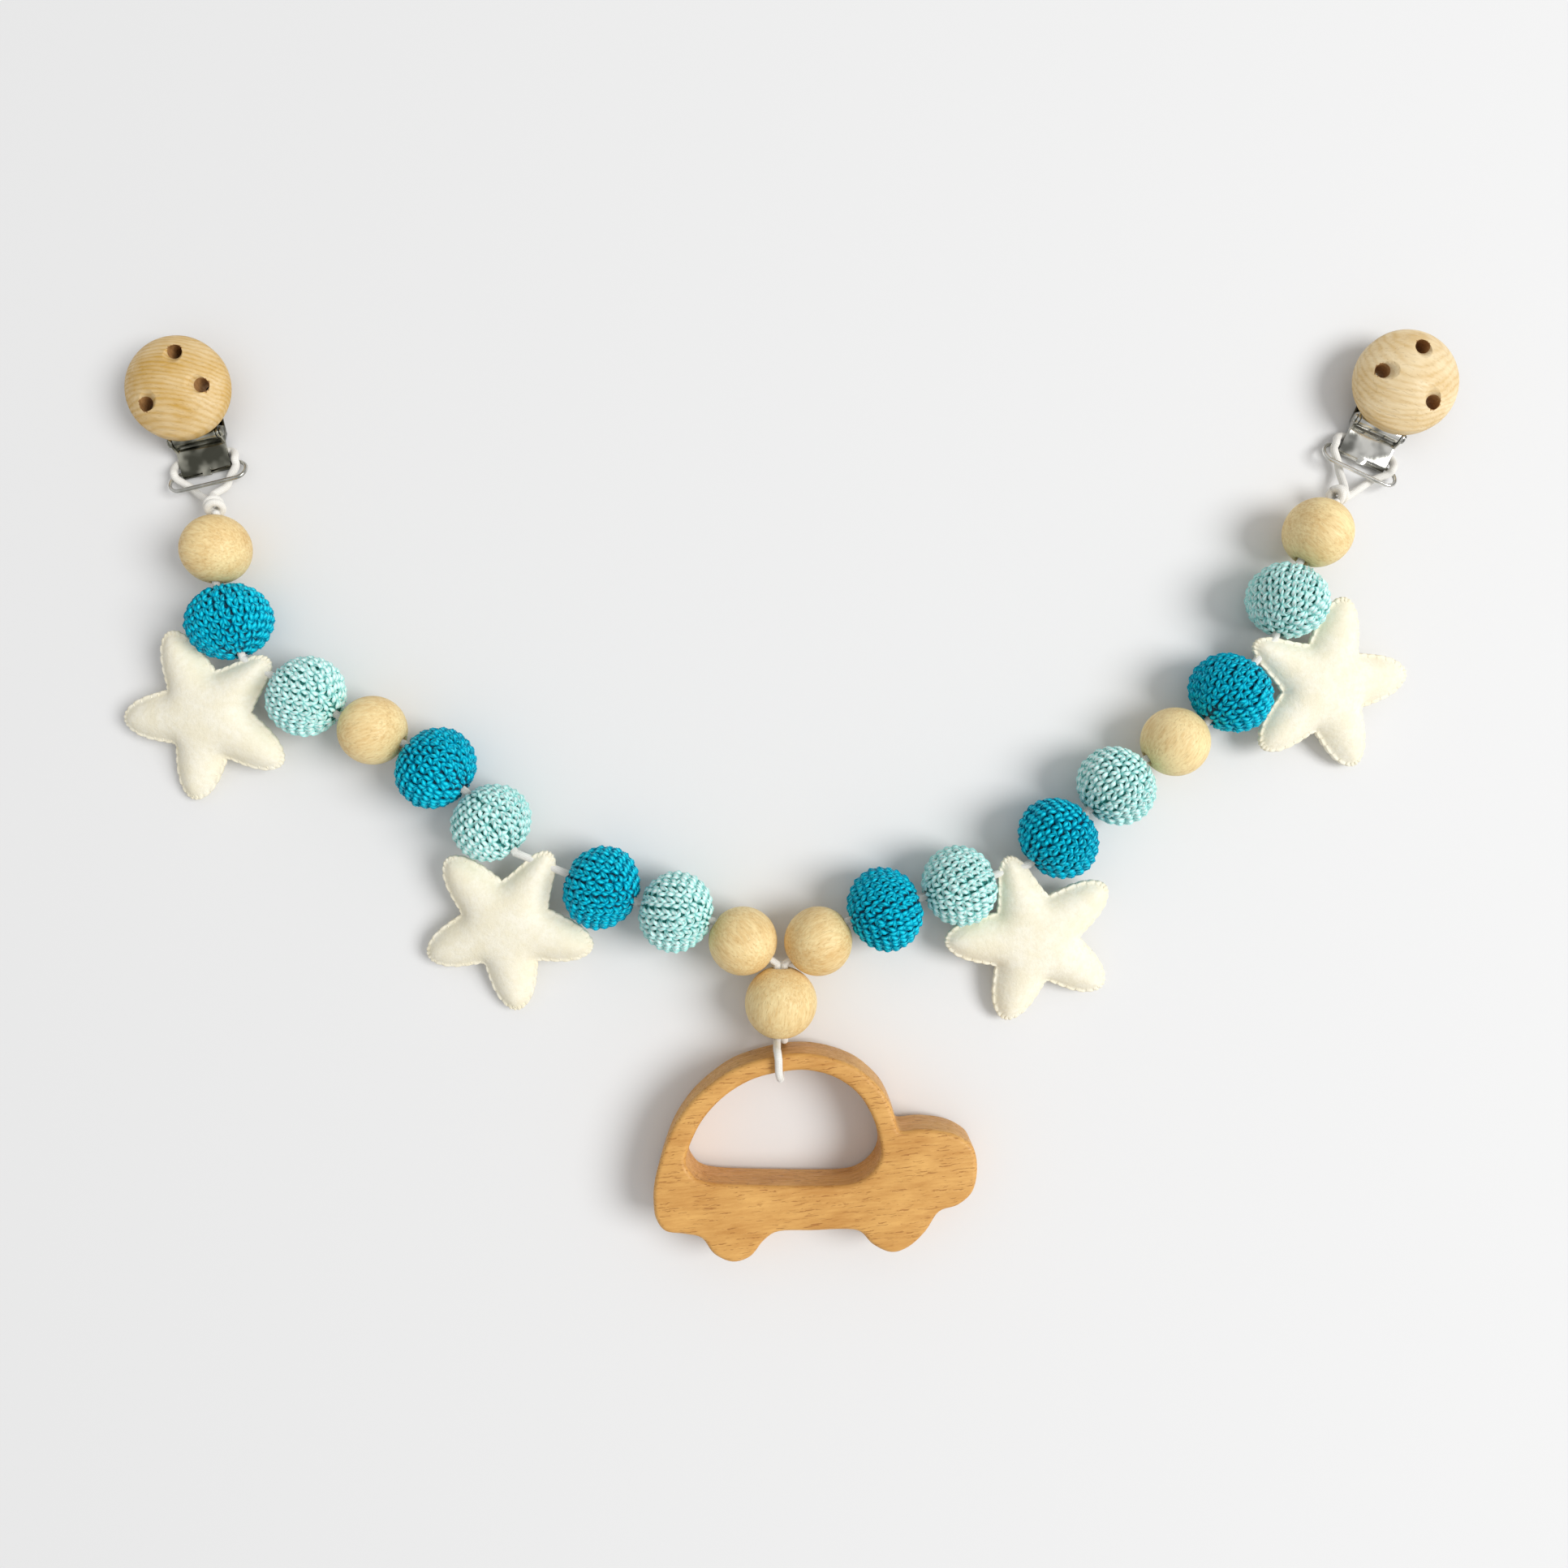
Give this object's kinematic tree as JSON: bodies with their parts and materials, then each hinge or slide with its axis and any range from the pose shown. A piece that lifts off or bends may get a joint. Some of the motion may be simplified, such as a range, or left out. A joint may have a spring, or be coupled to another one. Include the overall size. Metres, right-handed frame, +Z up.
{
  "type": "pram chain toy",
  "caption": "Garland of wooden and crocheted balls and felt stars on elastic cord, with a hanging wooden car and a clip at each end, hung across a pram.",
  "frame": {"origin": "on the car's flat back, in the wood below its window", "axes": "+X along the chain to the right, +Y away from the car towards the clips, +Z up from the table"},
  "size_m": [0.3698, 0.255, 0.0234],
  "materials": {
    "bead_wood": "bare lightly waxed pale beech, fine grain",
    "dark_yarn": "crocheted mercerised cotton, cerulean blue",
    "mint_yarn": "crocheted mercerised cotton, pale mint",
    "felt": "cream wool felt, blanket stitched edge",
    "cord": "braided off-white elastic",
    "car_wood": "oiled beech with short dark flecks",
    "disc_wood": "bare maple, smooth sanded",
    "nickel": "nickel plated steel",
    "insert_plastic": "moulded white"
  },
  "bodies": {
    "middle": {"centre_cord": "cord"},
    "centre_ball": {"centre_ball": "bead_wood"},
    "pendant": {"pendant_loop": "cord"},
    "car": {"car": "car_wood"},
    "left_link_1": {"left_cord_1": "cord"},
    "left_wood_ball_1": {"left_wood_ball_1": "bead_wood"},
    "left_link_2": {"left_cord_2": "cord"},
    "left_mint_ball_1": {"left_mint_ball_1": "mint_yarn"},
    "left_link_3": {"left_cord_3": "cord"},
    "left_dark_ball_1": {"left_dark_ball_1": "dark_yarn"},
    "left_star_1": {"left_star_1": "felt"},
    "left_link_4": {"left_cord_4": "cord"},
    "left_mint_ball_2": {"left_mint_ball_2": "mint_yarn"},
    "left_link_5": {"left_cord_5": "cord"},
    "left_dark_ball_2": {"left_dark_ball_2": "dark_yarn"},
    "left_link_6": {"left_cord_6": "cord"},
    "left_wood_ball_2": {"left_wood_ball_2": "bead_wood"},
    "left_link_7": {"left_cord_7": "cord"},
    "left_mint_ball_3": {"left_mint_ball_3": "mint_yarn"},
    "left_star_2": {"left_star_2": "felt"},
    "left_link_8": {"left_cord_8": "cord"},
    "left_dark_ball_3": {"left_dark_ball_3": "dark_yarn"},
    "left_link_9": {"left_cord_9": "cord"},
    "left_wood_ball_3": {"left_wood_ball_3": "bead_wood"},
    "left_knot": {"left_knot": "cord"},
    "left_clip": {"left_loop": "cord", "left_clip_base": "nickel", "left_clip_insert": "insert_plastic", "left_clip_pin": "nickel"},
    "left_lever": {"left_clip_lever": "nickel", "left_clip_disc": "disc_wood"},
    "left_bail": {"left_clip_bail": "nickel"},
    "right_link_1": {"right_cord_1": "cord"},
    "right_wood_ball_1": {"right_wood_ball_1": "bead_wood"},
    "right_link_2": {"right_cord_2": "cord"},
    "right_dark_ball_1": {"right_dark_ball_1": "dark_yarn"},
    "right_link_3": {"right_cord_3": "cord"},
    "right_mint_ball_1": {"right_mint_ball_1": "mint_yarn"},
    "right_star_1": {"right_star_1": "felt"},
    "right_link_4": {"right_cord_4": "cord"},
    "right_dark_ball_2": {"right_dark_ball_2": "dark_yarn"},
    "right_link_5": {"right_cord_5": "cord"},
    "right_mint_ball_2": {"right_mint_ball_2": "mint_yarn"},
    "right_link_6": {"right_cord_6": "cord"},
    "right_wood_ball_2": {"right_wood_ball_2": "bead_wood"},
    "right_link_7": {"right_cord_7": "cord"},
    "right_dark_ball_3": {"right_dark_ball_3": "dark_yarn"},
    "right_star_2": {"right_star_2": "felt"},
    "right_link_8": {"right_cord_8": "cord"},
    "right_mint_ball_3": {"right_mint_ball_3": "mint_yarn"},
    "right_link_9": {"right_cord_9": "cord"},
    "right_wood_ball_3": {"right_wood_ball_3": "bead_wood"},
    "right_knot": {"right_knot": "cord"},
    "right_clip": {"right_loop": "cord", "right_clip_base": "nickel", "right_clip_insert": "insert_plastic", "right_clip_pin": "nickel"},
    "right_lever": {"right_clip_lever": "nickel", "right_clip_disc": "disc_wood"},
    "right_bail": {"right_clip_bail": "nickel"}
  },
  "joints": [
    {"name": "centre_ball_spin", "type": "hinge", "parent": "middle", "child": "centre_ball", "pos_m": [0, 0.05665, 0.01121], "axis": [0, 1, 0], "continuous": true},
    {"name": "pendant_turn", "type": "hinge", "parent": "middle", "child": "pendant", "pos_m": [0, 0.04715, 0.01121], "axis": [0, 1, 0], "range_deg": [-90, 90]},
    {"name": "car_sway", "type": "hinge", "parent": "pendant", "child": "car", "pos_m": [0, 0.0395, 0.00221], "axis": [0.0032, -0.056, 0.9984], "range_deg": [-10, 10]},
    {"name": "left_bend_1", "type": "hinge", "parent": "middle", "child": "left_link_1", "pos_m": [-0.001, 0.06715, 0.01121], "axis": [1, 0, 0], "range_deg": [-15, 15]},
    {"name": "left_wood_ball_1_spin", "type": "hinge", "parent": "left_link_1", "child": "left_wood_ball_1", "pos_m": [-0.01029, 0.07341, 0.01121], "axis": [-0.829, 0.5592, 0], "continuous": true},
    {"name": "left_bend_2", "type": "hinge", "parent": "left_link_1", "child": "left_link_2", "pos_m": [-0.01833, 0.07883, 0.01121], "axis": [0, 0, -1], "range_deg": [-2, 42]},
    {"name": "left_mint_ball_1_spin", "type": "hinge", "parent": "left_link_2", "child": "left_mint_ball_1", "pos_m": [-0.02871, 0.08142, 0.01121], "axis": [-0.9703, 0.2419, 0], "continuous": true},
    {"name": "left_bend_3", "type": "hinge", "parent": "left_link_2", "child": "left_link_3", "pos_m": [-0.03909, 0.08401, 0.01121], "axis": [0, 0, 1], "range_deg": [-14, 30]},
    {"name": "left_dark_ball_1_spin", "type": "hinge", "parent": "left_link_3", "child": "left_dark_ball_1", "pos_m": [-0.04901, 0.08802, 0.01121], "axis": [-0.9272, 0.3746, 0], "continuous": true},
    {"name": "left_star_1_swing", "type": "hinge", "parent": "left_link_3", "child": "left_star_1", "pos_m": [-0.06502, 0.09449, 0.01121], "axis": [-0.9272, 0.3746, 0], "range_deg": [-20, 20]},
    {"name": "left_bend_4", "type": "hinge", "parent": "left_link_3", "child": "left_link_4", "pos_m": [-0.07247, 0.0975, 0.01121], "axis": [0, 0, -1], "range_deg": [-4, 30]},
    {"name": "left_mint_ball_2_spin", "type": "hinge", "parent": "left_link_4", "child": "left_mint_ball_2", "pos_m": [-0.0792, 0.10581, 0.01121], "axis": [-0.6293, 0.7771, 0], "continuous": true},
    {"name": "left_bend_5", "type": "hinge", "parent": "left_link_4", "child": "left_link_5", "pos_m": [-0.08594, 0.11413, 0.01121], "axis": [0, 0, 1], "range_deg": [-35, 9]},
    {"name": "left_dark_ball_2_spin", "type": "hinge", "parent": "left_link_5", "child": "left_dark_ball_2", "pos_m": [-0.09437, 0.12072, 0.01121], "axis": [-0.788, 0.6157, 0], "continuous": true},
    {"name": "left_bend_6", "type": "hinge", "parent": "left_link_5", "child": "left_link_6", "pos_m": [-0.1028, 0.1273, 0.01121], "axis": [0, 0, -1], "range_deg": [-7, 37]},
    {"name": "left_wood_ball_2_spin", "type": "hinge", "parent": "left_link_6", "child": "left_wood_ball_2", "pos_m": [-0.11173, 0.13109, 0.01121], "axis": [-0.9205, 0.3907, 0], "continuous": true},
    {"name": "left_bend_7", "type": "hinge", "parent": "left_link_6", "child": "left_link_7", "pos_m": [-0.12066, 0.13488, 0.01121], "axis": [0, 0, 1], "range_deg": [-14, 30]},
    {"name": "left_mint_ball_3_spin", "type": "hinge", "parent": "left_link_7", "child": "left_mint_ball_3", "pos_m": [-0.12983, 0.14039, 0.01121], "axis": [-0.8572, 0.515, 0], "continuous": true},
    {"name": "left_star_2_swing", "type": "hinge", "parent": "left_link_7", "child": "left_star_2", "pos_m": [-0.14279, 0.14818, 0.01121], "axis": [-0.8572, 0.515, 0], "range_deg": [-20, 20]},
    {"name": "left_bend_8", "type": "hinge", "parent": "left_link_7", "child": "left_link_8", "pos_m": [-0.14723, 0.15085, 0.01121], "axis": [0, 0, -1], "range_deg": [0, 12]},
    {"name": "left_dark_ball_3_spin", "type": "hinge", "parent": "left_link_8", "child": "left_dark_ball_3", "pos_m": [-0.15089, 0.1609, 0.01121], "axis": [-0.342, 0.9397, 0], "continuous": true},
    {"name": "left_bend_9", "type": "hinge", "parent": "left_link_8", "child": "left_link_9", "pos_m": [-0.15455, 0.17096, 0.01121], "axis": [0, 0, 1], "range_deg": [-2, 42]},
    {"name": "left_wood_ball_3_spin", "type": "hinge", "parent": "left_link_9", "child": "left_wood_ball_3", "pos_m": [-0.15455, 0.18066, 0.01121], "axis": [0, 1, 0], "continuous": true},
    {"name": "left_knot_bend", "type": "hinge", "parent": "left_link_9", "child": "left_knot", "pos_m": [-0.15455, 0.19036, 0.01121], "axis": [0, 0, 1], "range_deg": [-30, 30]},
    {"name": "left_clip_swing", "type": "hinge", "parent": "left_knot", "child": "left_clip", "pos_m": [-0.15817, 0.19506, 0.00561], "axis": [-0.7664, -0.6423, 0], "range_deg": [-45, 45]},
    {"name": "left_lever_lift", "type": "hinge", "parent": "left_clip", "child": "left_lever", "pos_m": [-0.16311, 0.21304, 0.00461], "axis": [0.9728, 0.2317, 0], "range_deg": [0, 90]},
    {"name": "left_bail_swing", "type": "hinge", "parent": "left_clip", "child": "left_bail", "pos_m": [-0.16122, 0.20511, 0.00096], "axis": [-0.9728, -0.2317, 0], "range_deg": [0, 30]},
    {"name": "right_bend_1", "type": "hinge", "parent": "middle", "child": "right_link_1", "pos_m": [0.001, 0.06715, 0.01121], "axis": [1, 0, 0], "range_deg": [-15, 15]},
    {"name": "right_wood_ball_1_spin", "type": "hinge", "parent": "right_link_1", "child": "right_wood_ball_1", "pos_m": [0.01029, 0.07341, 0.01121], "axis": [0.829, 0.5592, 0], "continuous": true},
    {"name": "right_bend_2", "type": "hinge", "parent": "right_link_1", "child": "right_link_2", "pos_m": [0.01833, 0.07883, 0.01121], "axis": [0, 0, 1], "range_deg": [-6, 38]},
    {"name": "right_dark_ball_1_spin", "type": "hinge", "parent": "right_link_2", "child": "right_dark_ball_1", "pos_m": [0.0285, 0.08214, 0.01121], "axis": [0.9511, 0.309, 0], "continuous": true},
    {"name": "right_bend_3", "type": "hinge", "parent": "right_link_2", "child": "right_link_3", "pos_m": [0.03868, 0.08545, 0.01121], "axis": [0, 0, -1], "range_deg": [-23, 21]},
    {"name": "right_mint_ball_1_spin", "type": "hinge", "parent": "right_link_3", "child": "right_mint_ball_1", "pos_m": [0.04891, 0.08858, 0.01121], "axis": [0.9563, 0.2924, 0], "continuous": true},
    {"name": "right_star_1_swing", "type": "hinge", "parent": "right_link_3", "child": "right_star_1", "pos_m": [0.06328, 0.09297, 0.01121], "axis": [0.9563, 0.2924, 0], "range_deg": [-20, 20]},
    {"name": "right_bend_4", "type": "hinge", "parent": "right_link_3", "child": "right_link_4", "pos_m": [0.06794, 0.09439, 0.01121], "axis": [0, 0, 1], "range_deg": [-12, 22]},
    {"name": "right_dark_ball_2_spin", "type": "hinge", "parent": "right_link_4", "child": "right_dark_ball_2", "pos_m": [0.07589, 0.10155, 0.01121], "axis": [0.7431, 0.6691, 0], "continuous": true},
    {"name": "right_bend_5", "type": "hinge", "parent": "right_link_4", "child": "right_link_5", "pos_m": [0.08385, 0.10871, 0.01121], "axis": [0, 0, -1], "range_deg": [-22, 22]},
    {"name": "right_mint_ball_2_spin", "type": "hinge", "parent": "right_link_5", "child": "right_mint_ball_2", "pos_m": [0.0918, 0.11587, 0.01121], "axis": [0.7431, 0.6691, 0], "continuous": true},
    {"name": "right_bend_6", "type": "hinge", "parent": "right_link_5", "child": "right_link_6", "pos_m": [0.09975, 0.12303, 0.01121], "axis": [0, 0, 1], "range_deg": [-11, 33]},
    {"name": "right_wood_ball_2_spin", "type": "hinge", "parent": "right_link_6", "child": "right_wood_ball_2", "pos_m": [0.10806, 0.12803, 0.01121], "axis": [0.8572, 0.515, 0], "continuous": true},
    {"name": "right_bend_7", "type": "hinge", "parent": "right_link_6", "child": "right_link_7", "pos_m": [0.11638, 0.13302, 0.01121], "axis": [0, 0, -1], "range_deg": [-2, 42]},
    {"name": "right_dark_ball_3_spin", "type": "hinge", "parent": "right_link_7", "child": "right_dark_ball_3", "pos_m": [0.12311, 0.14134, 0.01121], "axis": [0.6293, 0.7771, 0], "continuous": true},
    {"name": "right_star_2_swing", "type": "hinge", "parent": "right_link_7", "child": "right_star_2", "pos_m": [0.13261, 0.15307, 0.01121], "axis": [0.6293, 0.7771, 0], "range_deg": [-20, 20]},
    {"name": "right_bend_8", "type": "hinge", "parent": "right_link_7", "child": "right_link_8", "pos_m": [0.13538, 0.15649, 0.01121], "axis": [0, 0, 1], "range_deg": [0, 14]},
    {"name": "right_mint_ball_3_spin", "type": "hinge", "parent": "right_link_8", "child": "right_mint_ball_3", "pos_m": [0.13869, 0.16667, 0.01121], "axis": [0.309, 0.9511, 0], "continuous": true},
    {"name": "right_bend_9", "type": "hinge", "parent": "right_link_8", "child": "right_link_9", "pos_m": [0.142, 0.17685, 0.01121], "axis": [0, 0, -1], "range_deg": [-35, 9]},
    {"name": "right_wood_ball_3_spin", "type": "hinge", "parent": "right_link_9", "child": "right_wood_ball_3", "pos_m": [0.14699, 0.18516, 0.01121], "axis": [0.515, 0.8572, 0], "continuous": true},
    {"name": "right_knot_bend", "type": "hinge", "parent": "right_link_9", "child": "right_knot", "pos_m": [0.15199, 0.19348, 0.01121], "axis": [0, 0, 1], "range_deg": [-30, 30]},
    {"name": "right_clip_swing", "type": "hinge", "parent": "right_knot", "child": "right_clip", "pos_m": [0.15627, 0.1971, 0.00561], "axis": [-0.366, 0.9306, 0], "range_deg": [-45, 45]},
    {"name": "right_lever_lift", "type": "hinge", "parent": "right_clip", "child": "right_lever", "pos_m": [0.16675, 0.21554, 0.00461], "axis": [0.9063, -0.4226, 0], "range_deg": [0, 90]},
    {"name": "right_bail_swing", "type": "hinge", "parent": "right_clip", "child": "right_bail", "pos_m": [0.16331, 0.20816, 0.00096], "axis": [-0.9063, 0.4226, 0], "range_deg": [0, 30]}
  ]
}
